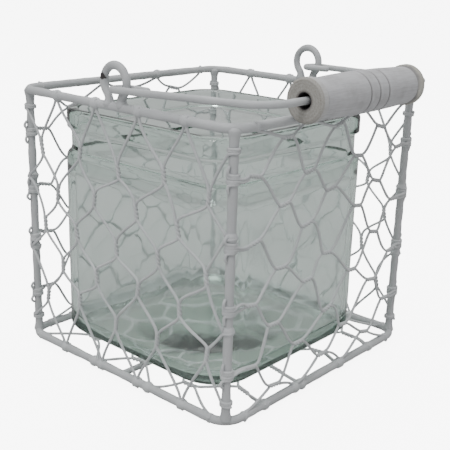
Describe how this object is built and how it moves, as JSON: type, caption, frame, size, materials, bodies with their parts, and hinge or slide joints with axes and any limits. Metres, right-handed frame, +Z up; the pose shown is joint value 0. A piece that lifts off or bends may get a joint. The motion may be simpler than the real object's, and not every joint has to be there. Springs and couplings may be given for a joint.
{
  "type": "jar lantern",
  "caption": "Square glass jar standing in a square basket of painted wire and hexagonal netting, carried by a folding wire bail with a turned wooden grip.",
  "frame": {"origin": "under the middle of the base, on the surface that the lantern stands on", "axes": "+Z up; the bail lies folded over the front, -Y; its ears stand on the left and right rims, at -X and +X"},
  "size_m": [0.1404, 0.1514, 0.1418],
  "materials": {
    "painted_wire": "satin grey-white paint, thick and slightly lumpy",
    "painted_netting": "satin grey-white paint over thin wire",
    "whitewashed_wood": "matt whitewash over fine grain, bare cream end grain",
    "green_tinted_glass": "glossy pressed glass, pale green where it is thick"
  },
  "bodies": {
    "basket": {"top_rim": "painted_wire", "bottom_rim": "painted_wire", "post_front_left": "painted_wire", "post_front_right": "painted_wire", "post_back_left": "painted_wire", "post_back_right": "painted_wire", "base_crossbar": "painted_wire", "bail_ear_left": "painted_wire", "bail_ear_right": "painted_wire", "netting_front": "painted_netting", "netting_right": "painted_netting", "netting_back": "painted_netting", "netting_left": "painted_netting", "netting_base": "painted_netting"},
    "bail": {"bail_wire": "painted_wire"},
    "grip": {"wood_grip": "whitewashed_wood"},
    "jar": {"glass_jar": "green_tinted_glass"}
  },
  "joints": [
    {"name": "bail_swing", "type": "hinge", "parent": "basket", "child": "bail", "pos_m": [0, 0, 0.1306], "axis": [-1, 0, 0], "range_deg": [0, 177.6]},
    {"name": "grip_spin", "type": "hinge", "parent": "bail", "child": "grip", "pos_m": [0, -0.07448, 0.13216], "axis": [1, 0, 0], "continuous": true},
    {"name": "jar_lift", "type": "slide", "parent": "basket", "child": "jar", "axis": [0, 0, 1], "range_m": [0, 0.15]}
  ]
}
